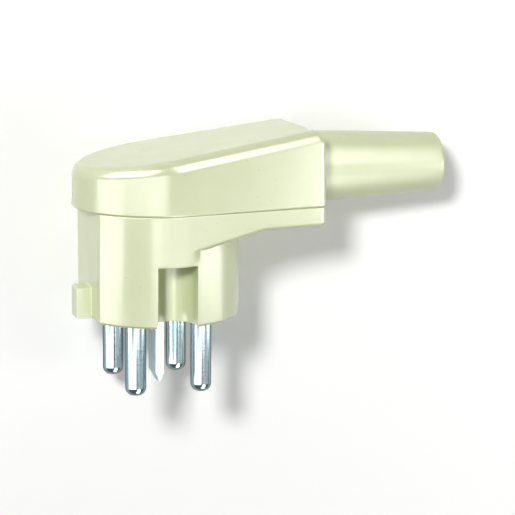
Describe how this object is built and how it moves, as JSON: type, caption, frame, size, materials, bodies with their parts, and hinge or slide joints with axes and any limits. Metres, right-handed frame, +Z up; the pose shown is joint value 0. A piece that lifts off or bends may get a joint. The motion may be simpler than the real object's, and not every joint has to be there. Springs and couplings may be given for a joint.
{
  "type": "five-pin three-phase plug",
  "caption": "Right-angled plug with round contact pins, a flat earth blade, a keyed moulded base, a sloping cover and a tapered cord sleeve.",
  "frame": {"origin": "centre of the pin face, on the axis of the contact set", "axes": "the plug lies on the side wall of its arm as it comes to rest: +Z up, -Y along the pins, the cord sleeve towards +X and dipped below the horizontal by the arm's side taper"},
  "size_m": [0.1117, 0.0747, 0.0488],
  "materials": {
    "housing": "glossy moulded urea plastic, ivory with a green-yellow cast",
    "sleeve": "satin-gloss moulded plastic, ivory",
    "contact": "nickel-plated turned brass, polished",
    "insert": "turned brass",
    "screw": "zinc-plated steel",
    "plate": "punched phenolic board",
    "clamp": "moulded fibre-filled plastic"
  },
  "bodies": {
    "root": {"base_housing": "housing", "clamp_bar": "clamp", "clamp_insert_back": "insert", "clamp_insert_front": "insert", "clamp_screw_back": "screw", "clamp_screw_front": "screw", "contact_plate": "plate", "cord_sleeve": "sleeve", "cover_insert_back": "insert", "cover_insert_front": "insert", "cover_insert_rear": "insert", "cover_screw_back": "screw", "cover_screw_front": "screw", "cover_screw_rear": "screw", "earth_blade": "contact", "pin_back_left": "contact", "pin_back_right": "contact", "pin_front_left": "contact", "pin_front_right": "contact", "plate_insert_back": "insert", "plate_insert_front": "insert", "plate_screw_back": "screw", "plate_screw_front": "screw", "terminal_screw_back_left": "screw", "terminal_screw_back_right": "screw", "terminal_screw_earth": "screw", "terminal_screw_front_left": "screw", "terminal_screw_front_right": "screw", "top_cover": "housing"}
  },
  "joints": []
}
